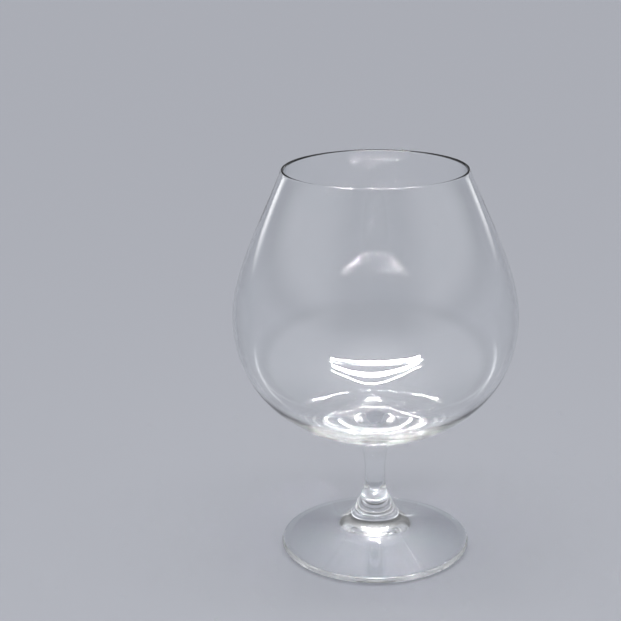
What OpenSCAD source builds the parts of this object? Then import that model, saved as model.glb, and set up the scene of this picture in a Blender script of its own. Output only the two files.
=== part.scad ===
// Brandy snifter: a balloon bowl on a short stem and a round foot, in clear glass.
// It is three pieces fused face to face. Each is one outline, turned about the upright axis.
// The origin lies on the table, under the middle of the foot, and +Z points up.

/* [Bowl] */
// Height of the bowl, from its seat on the stem to its mouth
bowl_h = 108; // [98:0.5:118]
// Largest outer diameter of the bowl
belly_d = 111; // [98:0.1:124]
// Height of the widest ring above the bowl's seat
belly_h = 50; // [44:0.5:58]
// Outer diameter of the mouth
mouth_d = 71.5; // [60:0.5:82]
// Lean of the wall at the mouth, in degrees from upright
mouth_lean = 20.5; // [14:0.5:27]
// Thickness of the wall
wall_t = 1.2; // [0.9:0.1:2]
// Thickness of the floor at the rim of the seat
floor_t = 9.8; // [7:0.1:12]
// How long the floor keeps its thickness beside the seat, as a power
floor_flatness = 1.4; // [1.3:0.05:1.6]
// How soon the floor then thins out to the wall, as a power
floor_thinning = 6.5; // [5.5:0.1:8.5]
// Diameter of the bowl's seat, which is also the stem's top
seat_d = 15; // [13:0.1:18]
// Slope of the underside beside the seat, in degrees
underside_rise = 9; // [6:1:14]
// Roundness of the bowl beside the seat, as a share of the underside's reach
underside_share = 0.43; // [0.34:0.01:0.5]
// Roundness of the bowl below its widest ring, as a share of the height to that ring
low_belly_share = 0.67; // [0.56:0.01:0.72]
// Roundness of the bowl above its widest ring, as a share of the height over that ring
high_belly_share = 0.3; // [0.2:0.01:0.36]
// Straightness of the wall under the mouth, as a share of the height over the widest ring
mouth_share = 0.28; // [0.2:0.01:0.36]

/* [Stem] */
// Height of the stem, from the foot's joint to the bowl's seat
stem_h = 27; // [20:0.5:40]
// Smallest diameter of the stem
waist_d = 8.2; // [7:0.1:10]
// Height of the smallest diameter above the foot's joint
waist_h = 12; // [9:0.5:15]
// Slope of the stem's flank where it meets the foot, in degrees
ankle_slope = 70; // [60:1:78]
// Slope of the stem's flank where it meets the bowl, in degrees
shoulder_slope = 45; // [35:1:55]
// Length over which the stem stays straight at its waist, as a share of each side's height
waist_share = 0.4; // [0.3:0.01:0.5]
// Roundness of the flare under the bowl, as a share of the height over the waist
shoulder_share = 0.14; // [0.1:0.01:0.24]

/* [Foot] */
// Height of the joint between the foot and the stem
foot_h = 20; // [17:0.5:24]
// Outer diameter of the foot
foot_d = 75.6; // [68:0.1:84]
// Diameter of the joint between the foot and the stem
joint_d = 12; // [10.5:0.1:13.5]
// Slope of the foot's flare at that joint, in degrees
flare_slope = 62; // [54:1:70]
// Thickness of the foot at its edge
edge_t = 2.6; // [1.8:0.1:3.4]
// Slope of the foot's top at its edge, in degrees
edge_slope = 14; // [10:1:18]
// Roundness of the flare under the stem, as a share of the joint's height
flare_share = 0.55; // [0.45:0.01:0.65]
// Straightness of the foot's top inside its edge, as a share of the foot's radius
edge_share = 0.72; // [0.6:0.01:0.78]
// Width of the flat ring that the foot rests on
rest_w = 2; // [1.2:0.1:3]
// Height of the hollow under the foot
hollow_h = 6.4; // [4.5:0.1:8]
// Slope of the hollow at the resting ring, in degrees
hollow_slope = 12; // [8:1:16]
// Roundness of the hollow at its middle, as a share of its radius
hollow_mid_share = 0.3; // [0.2:0.01:0.4]
// Straightness of the hollow inside the resting ring, as a share of its radius
hollow_edge_share = 0.4; // [0.3:0.01:0.5]

/* [Hidden] */
$fn = 128;
curve_steps = 28;
round_steps = 10;
glass = [0.86, 0.91, 0.93, 0.35];

seat_z = foot_h + stem_h;
seat_r = seat_d / 2;
belly_r = belly_d / 2;
mouth_h = bowl_h - belly_h;
lip_r = wall_t / 2;
waist_r = waist_d / 2;
joint_r = joint_d / 2;
foot_r = foot_d / 2;
edge_r = edge_t / 2;
rest_out_r = foot_r - edge_r;
rest_in_r = rest_out_r - rest_w;

// A direction in an outline, and the direction square to its left
function aim(angle) = [cos(angle), sin(angle)];
function left_of(v) = [-v[1], v[0]] / norm(v);

// A cubic curve between two ends, with a handle at each
function cubic(a, b, c, d, t) =
    pow(1 - t, 3) * a + 3 * t * pow(1 - t, 2) * b + 3 * t * t * (1 - t) * c + pow(t, 3) * d;
function heading(a, b, c, d, t) =
    pow(1 - t, 2) * (b - a) + 2 * t * (1 - t) * (c - b) + t * t * (d - c);
function curve(p) =
    [for (i = [0:curve_steps]) cubic(p[0], p[1], p[2], p[3], i / curve_steps)];

// Thickness along a curve, which thins out from a first one to a last one
function thinned(first_t, last_t, t) =
    last_t + (first_t - last_t) * pow(1 - pow(t, floor_flatness), floor_thinning);

// The same curve moved to its left by that thickness
function inside(p, first_t, last_t) =
    [for (i = [0:curve_steps])
        let (t = i / curve_steps)
        cubic(p[0], p[1], p[2], p[3], t)
            + left_of(heading(p[0], p[1], p[2], p[3], t)) * thinned(first_t, last_t, t)];

// An arc about a centre, from one angle to another
function arc(centre, r, from, to) =
    [for (i = [0:round_steps]) centre + r * aim(from + (to - from) * i / round_steps)];

function reversed(p) = [for (i = [len(p) - 1:-1:0]) p[i]];

// Outer wall of the bowl from its seat to its widest ring, and on to its mouth
lip_centre = [mouth_d / 2 - lip_r * cos(mouth_lean), bowl_h - lip_r];
mouth_end = lip_centre + lip_r * aim(mouth_lean);
low_wall = [
    [seat_r, 0],
    [seat_r, 0] + (belly_r - seat_r) * underside_share * aim(underside_rise),
    [belly_r, belly_h * (1 - low_belly_share)],
    [belly_r, belly_h],
];
high_wall = [
    [belly_r, belly_h],
    [belly_r, belly_h + mouth_h * high_belly_share],
    mouth_end - mouth_h * mouth_share * left_of(aim(mouth_lean)),
    mouth_end,
];
low_inside = inside(low_wall, floor_t, wall_t);
high_inside = inside(high_wall, wall_t, wall_t);

// Middle of the floor: level at the axis, and in line with the thick floor where it meets it
floor_edge = low_inside[0];
floor_rise = (low_inside[1] - floor_edge) / norm(low_inside[1] - floor_edge);
floor_mid = floor_edge - floor_rise * floor_edge[0] / floor_rise[0] / 2;
floor_curve = [[0, floor_mid[1]], floor_mid, floor_mid, floor_edge];

// Flank of the stem from the foot's joint to its waist, and on to the bowl's seat
low_stem = [
    [joint_r, 0],
    [joint_r, 0] + waist_h * (1 - waist_share) * aim(180 - ankle_slope),
    [waist_r, waist_h * (1 - waist_share)],
    [waist_r, waist_h],
];
high_stem = [
    [waist_r, waist_h],
    [waist_r, waist_h + (stem_h - waist_h) * waist_share],
    [seat_r, stem_h] - (stem_h - waist_h) * shoulder_share * aim(shoulder_slope),
    [seat_r, stem_h],
];

// Top of the foot from the stem's joint to its rounded edge, and the hollow under it
edge_centre = [rest_out_r, edge_r];
edge_top = edge_centre + edge_r * aim(90 - edge_slope);
foot_top = [
    [joint_r, foot_h],
    [joint_r, foot_h] + foot_h * flare_share * aim(-flare_slope),
    edge_top + foot_r * edge_share * aim(180 - edge_slope),
    edge_top,
];
hollow = [
    [rest_in_r, 0],
    [rest_in_r, 0] + rest_in_r * hollow_edge_share * aim(180 - hollow_slope),
    [rest_in_r * hollow_mid_share, hollow_h],
    [0, hollow_h],
];

module turned(outline) {
    rotate_extrude() polygon(outline);
}

module bowl() {
    color(glass)
    translate([0, 0, seat_z])
    turned(concat(
        [[0, 0]],
        curve(low_wall),
        curve(high_wall),
        arc(lip_centre, lip_r, mouth_lean, mouth_lean + 180),
        reversed(high_inside),
        reversed(low_inside),
        reversed(curve(floor_curve))
    ));
}

module stem() {
    color(glass)
    translate([0, 0, foot_h])
    turned(concat(
        [[0, 0]],
        curve(low_stem),
        curve(high_stem),
        [[0, stem_h]]
    ));
}

module foot() {
    color(glass)
    turned(concat(
        [[0, foot_h]],
        curve(foot_top),
        reversed(arc(edge_centre, edge_r, -90, 90 - edge_slope)),
        curve(hollow)
    ));
}

bowl();
stem();
foot();
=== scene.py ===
import math

import bpy
import numpy as np
from mathutils import Matrix


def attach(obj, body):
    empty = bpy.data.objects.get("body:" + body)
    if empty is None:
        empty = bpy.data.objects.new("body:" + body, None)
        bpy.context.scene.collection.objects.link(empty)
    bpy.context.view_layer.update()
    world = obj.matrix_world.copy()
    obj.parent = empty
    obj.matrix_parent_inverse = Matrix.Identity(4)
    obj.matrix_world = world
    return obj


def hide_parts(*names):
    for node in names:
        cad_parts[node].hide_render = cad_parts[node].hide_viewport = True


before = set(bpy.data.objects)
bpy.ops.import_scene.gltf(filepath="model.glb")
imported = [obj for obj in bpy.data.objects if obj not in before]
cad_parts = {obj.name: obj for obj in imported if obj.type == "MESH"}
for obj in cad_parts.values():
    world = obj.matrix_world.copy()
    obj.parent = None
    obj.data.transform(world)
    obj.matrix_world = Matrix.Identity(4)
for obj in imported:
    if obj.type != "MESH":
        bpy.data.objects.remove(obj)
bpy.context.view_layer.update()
print("solids loaded:", ", ".join(sorted(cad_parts)))


# Outlines are half sections in millimetres: distance from the axis, then height over the table.
fineSteps = 600  # points along a curve, before they are spread evenly


def aim(angle):  # a direction, from its angle in degrees
    return np.array([math.cos(math.radians(angle)), math.sin(math.radians(angle))])


def leftOf(way):  # square to the left of each direction
    return np.stack([-way[..., 1], way[..., 0]], -1) / np.linalg.norm(way, axis=-1)[..., None]


def cubic(ends, t):
    a, b, c, d = [np.asarray(p, float) for p in ends]
    t = t[:, None]
    return (1 - t) ** 3 * a + 3 * t * (1 - t) ** 2 * b + 3 * t * t * (1 - t) * c + t ** 3 * d


def heading(ends, t):
    a, b, c, d = [np.asarray(p, float) for p in ends]
    t = t[:, None]
    return (1 - t) ** 2 * (b - a) + 2 * t * (1 - t) * (c - b) + t * t * (d - c)


def evenly(points, count):  # the same line with its points at even distances
    along = np.concatenate([[0], np.cumsum(np.linalg.norm(np.diff(points, axis=0), axis=1))])
    at = np.linspace(0, along[-1], count)
    return np.stack([np.interp(at, along, points[:, k]) for k in (0, 1)], 1)


def curve(ends, count):
    return evenly(cubic(ends, np.linspace(0, 1, fineSteps)), count)


def arc(centre, radius, start, end, count):
    return np.array([centre + radius * aim(a) for a in np.linspace(start, end, count)])


# A run is one piece's share of the skin, from table to mouth and down into the bowl.
bowl = {
    "height": 108, "bellyWidth": 111, "bellyHeight": 50, "mouthWidth": 71.5, "mouthLean": 20.5,
    "wall": 1.2, "floor": 9.8, "floorFlatness": 1.4, "floorThinning": 6.5,
    "seatWidth": 15, "undersideRise": 9, "undersideShare": 0.43,
    "lowBellyShare": 0.67, "highBellyShare": 0.3, "mouthShare": 0.28,
    "lowRows": 84, "highRows": 56, "lipRows": 13, "floorRows": 18,
    "rings": 0.006, "ringPitch": 3.1, "ringWobble": 0.25,  # faint rings from the mould's spin
    "ringFrom": 12, "ringFadeIn": 3, "ringTo": 26, "ringFadeOut": 6, "outerRingShare": 0.6,
    "waves": 0.015, "waveFrom": 8, "waveFade": 14,  # slow unevenness of the blown wall
    "waveForms": [(1, 2, 17, 0.6), (0.6, 3, -11, 0), (0.3, 5, 6, 2)],  # share, lobes, pitch, turn
}


def inside(ends, firstWall, lastWall, count):  # the line a wall's thickness to the left
    t = np.linspace(0, 1, fineSteps)
    share = (1 - t ** bowl["floorFlatness"]) ** bowl["floorThinning"]
    wall = lastWall + (firstWall - lastWall) * share
    return evenly(cubic(ends, t) + leftOf(heading(ends, t)) * wall[:, None], count)


def bowlRun(seatHeight):
    b = bowl
    seat, belly = b["seatWidth"] / 2, b["bellyWidth"] / 2
    over, lip = b["height"] - b["bellyHeight"], b["wall"] / 2
    lipCentre = np.array([b["mouthWidth"] / 2 - lip * aim(b["mouthLean"])[0], b["height"] - lip])
    mouthEnd = lipCentre + lip * aim(b["mouthLean"])
    low = [
        (seat, 0),
        np.array([seat, 0]) + (belly - seat) * b["undersideShare"] * aim(b["undersideRise"]),
        (belly, b["bellyHeight"] * (1 - b["lowBellyShare"])),
        (belly, b["bellyHeight"]),
    ]
    high = [
        (belly, b["bellyHeight"]),
        (belly, b["bellyHeight"] + over * b["highBellyShare"]),
        mouthEnd - over * b["mouthShare"] * leftOf(aim(b["mouthLean"])),
        mouthEnd,
    ]
    innerLow = inside(low, b["floor"], b["wall"], b["lowRows"])
    innerHigh = inside(high, b["wall"], b["wall"], b["highRows"])
    edge = innerLow[0]
    rise = (innerLow[1] - edge) / np.linalg.norm(innerLow[1] - edge)
    middle = edge - rise * edge[0] / rise[0] / 2  # the floor is level inside it
    floor = curve([(0, middle[1]), middle, middle, edge], b["floorRows"])
    lipTurn = (b["mouthLean"], b["mouthLean"] + 180)
    parts = [
        ("outer", curve(low, b["lowRows"])),
        ("outer", curve(high, b["highRows"])[1:]),
        ("lip", arc(lipCentre, lip, *lipTurn, b["lipRows"])[1:]),
        ("inner", innerHigh[::-1][1:]),
        ("inner", innerLow[::-1][1:]),
        ("inner", floor[::-1][1:]),
    ]
    points = np.concatenate([p for _, p in parts]) + (0, seatHeight)
    marks = sum([[mark] * len(p) for mark, p in parts], [])
    return points, marks


stem = {
    "height": 27, "waistWidth": 8.2, "waistHeight": 12, "ankleSlope": 70, "shoulderSlope": 45,
    "waistShare": 0.4, "shoulderShare": 0.14, "lowRows": 30, "highRows": 40,
}


def stemRun(jointHeight):
    s = stem
    joint, waist, seat = foot["jointWidth"] / 2, s["waistWidth"] / 2, bowl["seatWidth"] / 2
    low, high = s["waistHeight"], s["height"] - s["waistHeight"]
    lower = [
        (joint, 0),
        np.array([joint, 0]) + low * (1 - s["waistShare"]) * aim(180 - s["ankleSlope"]),
        (waist, low * (1 - s["waistShare"])),
        (waist, low),
    ]
    upper = [
        (waist, low),
        (waist, low + high * s["waistShare"]),
        np.array([seat, s["height"]]) - high * s["shoulderShare"] * aim(s["shoulderSlope"]),
        (seat, s["height"]),
    ]
    flank = [curve(lower, s["lowRows"]), curve(upper, s["highRows"])[1:]]
    points = np.concatenate(flank) + (0, jointHeight)
    return points, ["stem"] * len(points)


foot = {
    "height": 20, "width": 75.6, "jointWidth": 12, "flareSlope": 62, "flareShare": 0.55,
    "edge": 2.6, "edgeSlope": 14, "edgeShare": 0.72, "restWidth": 2,
    "hollowHeight": 6.4, "hollowSlope": 12, "hollowMidShare": 0.3, "hollowEdgeShare": 0.4,
    "hollowRows": 56, "restRows": 2, "edgeRows": 17, "topRows": 84,
}


def footRun():
    f = foot
    joint, rim, half = f["jointWidth"] / 2, f["width"] / 2, f["edge"] / 2
    edgeCentre = np.array([rim - half, half])
    edgeTop = edgeCentre + half * aim(90 - f["edgeSlope"])
    rest = rim - half - f["restWidth"]
    top = [
        (joint, f["height"]),
        np.array([joint, f["height"]]) + f["height"] * f["flareShare"] * aim(-f["flareSlope"]),
        edgeTop + rim * f["edgeShare"] * aim(180 - f["edgeSlope"]),
        edgeTop,
    ]
    hollow = [
        (rest, 0),
        np.array([rest, 0]) + rest * f["hollowEdgeShare"] * aim(180 - f["hollowSlope"]),
        (rest * f["hollowMidShare"], f["hollowHeight"]),
        (0, f["hollowHeight"]),
    ]
    acrossRest = np.linspace(0, 1, f["restRows"] + 1)[1:]
    parts = [
        ("hollow", curve(hollow, f["hollowRows"])[::-1]),
        ("edge", np.array([[rest + f["restWidth"] * k, 0] for k in acrossRest])),
        ("edge", arc(edgeCentre, half, -90, 90 - f["edgeSlope"], f["edgeRows"])[1:]),
        ("top", curve(top, f["topRows"])[::-1][1:]),
    ]
    points = np.concatenate([p for _, p in parts])
    marks = sum([[mark] * len(p) for mark, p in parts], [])
    return points, marks


skin = {
    "turns": 256,  # facets round the axis
    "leastLength": 1e-9,  # a shorter normal says nothing, and the outline's own is used
    "axisReach": 1e-7,  # in metres: nearer to the axis than this, a row is one point
}


def fadeIn(value, span):  # from 0 up to 1 over a span
    return np.clip(value / span, 0, 1)


def pushOut(points, marks):  # how far each row stands out along its normal, in millimetres
    b = bowl
    angle = np.linspace(0, 2 * math.pi, skin["turns"], endpoint=False)[None, :]
    r, z = points[:, :1], points[:, 1:]
    mark = np.array(marks)[:, None]
    seat = foot["height"] + stem["height"]
    inRings = fadeIn(r - b["ringFrom"], b["ringFadeIn"]) * fadeIn(b["ringTo"] - r, b["ringFadeOut"])
    inRings = inRings * (z < seat + b["bellyHeight"])
    wobble = b["ringWobble"] * np.sin(2 * angle)
    rings = b["rings"] * np.sin(2 * math.pi * r / b["ringPitch"] + wobble)
    outerRings = np.where(mark == "outer", b["outerRingShare"] * rings, 0)
    out = np.where(mark == "inner", rings, outerRings) * inRings
    slow = sum(share * np.sin(lobes * angle + z / pitch + turn)
               for share, lobes, pitch, turn in b["waveForms"])
    inWaves = fadeIn(r - b["waveFrom"], b["waveFade"])
    inWaves = inWaves * fadeIn(seat + b["height"] - z, b["waveFade"])
    return out + np.where(mark == "inner", b["waves"] * slow * inWaves, 0)


def skinGrid(points, marks):  # the whole skin as rows of points, with its normals
    angle = np.linspace(0, 2 * math.pi, skin["turns"], endpoint=False)
    spoke = np.stack([np.cos(angle), np.sin(angle), np.zeros_like(angle)], 1)
    up = np.array([0.0, 0.0, 1.0])

    def spread(line):
        return line[:, :1, None] * spoke[None] + line[:, 1:, None] * up

    way = np.gradient(points, axis=0)
    outward = -leftOf(way)
    place = spread(points) + spread(outward) * pushOut(points, marks)[:, :, None]
    along = np.gradient(place, axis=0)
    around = np.roll(place, -1, 1) - np.roll(place, 1, 1)
    normal = np.cross(around, along)
    length = np.linalg.norm(normal, axis=2, keepdims=True)
    least = skin["leastLength"]
    normal = np.where(length > least, normal / np.maximum(length, least), spread(outward))
    normal[0], normal[-1] = -up, up  # under the foot, and on the bowl's floor
    return place / 1000, normal


def skinPiece(name, place, normal):  # one piece of the skin, smooth and exact
    rows, verts, norms = [], [], []
    for line, ways in zip(place, normal):
        single = np.hypot(line[0, 0], line[0, 1]) < skin["axisReach"]
        count = 1 if single else len(line)
        rows.append(list(range(len(verts), len(verts) + count)))
        verts.extend(line[:count].tolist())
        norms.extend(ways[:count].tolist())
    faces = []
    for a, b in zip(rows[:-1], rows[1:]):
        for i in range(skin["turns"]):
            j = (i + 1) % skin["turns"]
            below = [a[0]] if len(a) == 1 else [a[i], a[j]]
            above = [b[0]] if len(b) == 1 else [b[j], b[i]]
            faces.append(below + above)
    mesh = bpy.data.meshes.new(name)
    mesh.from_pydata(verts, [], faces)
    mesh.polygons.foreach_set("use_smooth", [True] * len(faces))
    mesh.normals_split_custom_set_from_vertices(norms)
    piece = bpy.data.objects.new(name, mesh)
    bpy.context.collection.objects.link(piece)
    return piece


runs = [footRun(), stemRun(foot["height"]), bowlRun(foot["height"] + stem["height"])]
points = np.concatenate([runs[0][0], runs[1][0][1:], runs[2][0][1:]])
marks = runs[0][1] + runs[1][1][1:] + runs[2][1][1:]
place, normal = skinGrid(points, marks)
jointRow = len(runs[0][0]) - 1
seatRow = jointRow + len(runs[1][0]) - 1
pieces = {
    "foot": skinPiece("clear_foot", place[:jointRow + 1], normal[:jointRow + 1]),
    "stem": skinPiece("clear_stem", place[jointRow:seatRow + 1], normal[jointRow:seatRow + 1]),
    "bowl": skinPiece("clear_bowl", place[seatRow:], normal[seatRow:]),
}
for node, piece in pieces.items():
    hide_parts(node)
    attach(piece, "root")
print("glass built:", {n: len(p.data.polygons) for n, p in pieces.items()})


def rgba(colour):
    return (*colour, 1)


class Wire:  # a socket in shader maths
    def __init__(self, graph, socket):
        self.graph, self.socket = graph, socket

    def sum(self, kind, *others):
        return self.graph.node("Math", {"operation": kind}, list(others))

    def __add__(self, other):
        return self.sum("ADD", self, other)

    def __radd__(self, other):
        return self.sum("ADD", other, self)

    def __sub__(self, other):
        return self.sum("SUBTRACT", self, other)

    def __rsub__(self, other):
        return self.sum("SUBTRACT", other, self)

    def __mul__(self, other):
        return self.sum("MULTIPLY", self, other)

    def __rmul__(self, other):
        return self.sum("MULTIPLY", other, self)

    def __pow__(self, other):
        return self.sum("POWER", self, other)

    def __abs__(self):
        return self.sum("ABSOLUTE", self)


class Graph:  # the nodes of a material, a lamp or the world
    def __init__(self, tree):
        self.tree = tree
        tree.nodes.clear()

    def node(self, kind, settings, inputs, output=0):
        made = self.tree.nodes.new("ShaderNode" + kind)
        for key, value in settings.items():
            setattr(made, key, value)
        named = inputs.items() if isinstance(inputs, dict) else enumerate(inputs)
        for key, value in named:
            if isinstance(value, Wire):
                self.tree.links.new(value.socket, made.inputs[key])
            else:
                made.inputs[key].default_value = value
        return Wire(self, made.outputs[output])

    def soft(self, value, span):  # a smooth rise from 0 to 1 over a span of values
        return self.node("MapRange", {"interpolation_type": "SMOOTHSTEP"}, {
            "Value": value, "From Min": span[0], "From Max": span[1], "To Min": 0.0, "To Max": 1.0})

    def mixed(self, share, first, second):  # one colour turning into another
        return self.node("Mix", {"data_type": "RGBA"}, {
            "Factor": share, "A": first, "B": second}, "Result")

    def end(self, kind, shader):
        out = self.tree.nodes.new("ShaderNodeOutput" + kind)
        self.tree.links.new(shader.socket, out.inputs[0])


glassFinish = {
    "ior": 1.5, "clear": (0.99, 0.996, 1.0), "thick": (0.974, 0.985, 0.99),
    "thickShare": {"bowl": 0.0, "stem": 0.5, "foot": 0.5},
    "edge": (0.3, 0.33, 0.34), "edgeShadeFade": 5.0,  # painted shade: seen edge on, the glass is coloured darker, a drawn dark outline that stands only a little for the longer path through it; not near the bowl's thick floor
    "floorHeight": 0.058, "edgeShadeReach": (0.012, 0.024),  # but not this near the bowl's thick floor
    "polish": 0.002, "haze": 0.012, "hazeScale": 38, "hazeDetail": 3.0, "hazeSpan": (0.52, 0.72),
    "peelScale": 210, "peelDetail": 1.0, "peelDepth": 0.000004,
    "shift": (1.0, 0.3, 0.7),  # how far each piece's noise lies from the last one's
}


def glassMaterial(node, seed):
    g = glassFinish
    material = bpy.data.materials.new("glass_" + node)
    material.use_nodes = True
    graph = Graph(material.node_tree)
    body = graph.node("TexCoord", {}, {}, "Object")
    spot = graph.node("Mapping", {}, {"Vector": body, "Location": [k * seed for k in g["shift"]]})
    cloud = graph.node("TexNoise", {}, {
        "Vector": spot, "Scale": g["hazeScale"], "Detail": g["hazeDetail"]})
    patches = graph.soft(cloud, g["hazeSpan"])
    thickShare = g["thickShare"][node]
    thickness = patches * (1 - thickShare) + thickShare
    tintAndEdgeShade = graph.mixed(thickness, rgba(g["clear"]), rgba(g["thick"]))
    height = graph.node("SeparateXYZ", {}, {"Vector": body}, "Z")
    away = graph.soft(abs(height - g["floorHeight"]), g["edgeShadeReach"])
    # painted shade: the colour turns dark towards the edge-on silhouette, drawing a dark outline,
    # except near the bowl's floor
    facing = graph.node("LayerWeight", {}, {"Blend": 0.5}, "Facing")
    tintAndEdgeShade = graph.mixed(facing ** g["edgeShadeFade"] * away, tintAndEdgeShade, rgba(g["edge"]))
    peel = graph.node("TexNoise", {}, {
        "Vector": spot, "Scale": g["peelScale"], "Detail": g["peelDetail"]})
    bump = graph.node("Bump", {}, {"Height": peel, "Strength": 1.0, "Distance": g["peelDepth"]})
    shader = graph.node("BsdfPrincipled", {}, {
        "Base Color": tintAndEdgeShade, "Roughness": patches * g["haze"] + g["polish"], "IOR": g["ior"],
        "Transmission Weight": 1.0, "Normal": bump})
    graph.end("Material", shader)
    return material


for node, seed in (("bowl", 1.0), ("stem", 2.0), ("foot", 3.0)):
    pieces[node].data.materials.append(glassMaterial(node, seed))
print("glass finished")


studio = {
    "floorTint": (0.42, 0.43, 0.47), "floorRoughness": 0.75, "floorSpecular": 0.2, "floorReach": 30,
    "floorDrop": 0.0001,  # a film of air, through which light gets under the foot's ring
    "strips": [(-0.045, 0.028, 16.4), (-0.0005, 0.004, 2.4)],  # place in Y, width and power
    "stripAcross": -0.01, "stripHeight": 0.62, "stripLength": 0.62,
    "zenith": (2.2, 2.22, 2.26), "skyPower": 4.0,
    "horizon": (0.423, 0.437, 0.482), "horizonHeight": (0.0, 0.22),  # as bright as the floor
    "lowSky": (0.1, 0.101, 0.105),
    "sideSky": (0.8, 0.81, 0.83), "sideAcross": (0.35, 0.85), "sideHeight": (0.15, 0.35),
    "backSky": (2.4, 2.42, 2.46), "backDepth": (0.6, 0.9), "backAcross": (0.2, 0.34),
    "backHeight": (0.03, 0.09),
}


def makeFloor():
    half, level = studio["floorReach"], -studio["floorDrop"]
    mesh = bpy.data.meshes.new("floor")
    corners = [(-half, -half), (half, -half), (half, half), (-half, half)]
    mesh.from_pydata([(x, y, level) for x, y in corners], [], [(0, 1, 2, 3)])
    floor = bpy.data.objects.new("floor", mesh)
    bpy.context.collection.objects.link(floor)
    material = bpy.data.materials.new("floor_paint")
    material.use_nodes = True
    graph = Graph(material.node_tree)
    graph.end("Material", graph.node("BsdfPrincipled", {}, {
        "Base Color": rgba(studio["floorTint"]), "Roughness": studio["floorRoughness"],
        "Specular IOR Level": studio["floorSpecular"]}))
    mesh.materials.append(material)


def makeStrips():  # lamps that only the glass shows, while the sky alone lights the floor
    for i, (y, width, power) in enumerate(studio["strips"]):
        lamp = bpy.data.lights.new("strip%d" % i, "AREA")
        lamp.shape, lamp.size, lamp.size_y = "RECTANGLE", studio["stripLength"], width
        lamp.energy = power
        lamp.use_nodes = True
        graph = Graph(lamp.node_tree)
        bounces = graph.node("LightPath", {}, {}, "Diffuse Depth")
        lit = graph.node("Math", {"operation": "LESS_THAN"}, [bounces, 0.5])  # none of them yet
        graph.end("Light", graph.node("Emission", {}, {"Strength": lit}))
        holder = bpy.data.objects.new("strip%d" % i, lamp)
        holder.location = (studio["stripAcross"], y, studio["stripHeight"])
        holder.visible_diffuse = False
        bpy.context.collection.objects.link(holder)


def makeSky():  # soft light from above, with paler places low down that draw the glass's edges
    s = studio
    world = bpy.data.worlds.new("sky")
    bpy.context.scene.world = world
    world.use_nodes = True
    graph = Graph(world.node_tree)
    way = graph.node("TexCoord", {}, {}, "Generated")
    across, depth, height = [graph.node("SeparateXYZ", {}, {"Vector": way}, k) for k in "XYZ"]
    aside = abs(across)
    sides = graph.soft(aside, s["sideAcross"]) * graph.soft(height, s["sideHeight"])
    behind = graph.soft(depth, s["backDepth"]) * graph.soft(aside, s["backAcross"])
    behind = behind * (1 - graph.soft(height, s["backHeight"]))
    low = graph.mixed(sides, rgba(s["lowSky"]), rgba(s["sideSky"]))
    low = graph.mixed(graph.soft(height, s["horizonHeight"]), rgba(s["horizon"]), low)
    low = graph.mixed(behind, low, rgba(s["backSky"]))
    rise = graph.node("Math", {"operation": "MAXIMUM"}, [height, 0.0])
    colour = graph.mixed(rise ** s["skyPower"], low, rgba(s["zenith"]))
    graph.end("World", graph.node("Background", {}, {"Color": colour, "Strength": 1.0}))


makeFloor()
makeStrips()
makeSky()
print("studio lit")

eye = {
    "place": (-0.0251, -0.5448, 0.2717), "down": 0.3071, "roll": -0.0132,
    "focalPixels": 1471.0, "framePixels": 621, "sensor": 36, "near": 0.01,
}
lens = bpy.data.cameras.new("eye")
lens.sensor_width, lens.clip_start = eye["sensor"], eye["near"]
lens.lens = eye["focalPixels"] / eye["framePixels"] * eye["sensor"]
camera = bpy.data.objects.new("eye", lens)
bpy.context.collection.objects.link(camera)
camera.matrix_world = (
    Matrix.Translation(eye["place"])
    @ Matrix.Rotation(math.pi / 2 - eye["down"], 4, "X")
    @ Matrix.Rotation(eye["roll"], 4, "Z")
)
bpy.context.scene.camera = camera
bpy.context.scene.view_settings.view_transform = "Standard"

bounces = 24  # long paths for thick glass, with nothing blurred or cut off
paths = bpy.context.scene.cycles
paths.max_bounces = paths.transmission_bounces = paths.glossy_bounces = bounces
paths.blur_glossy, paths.sample_clamp_indirect = 0.0, 0.0
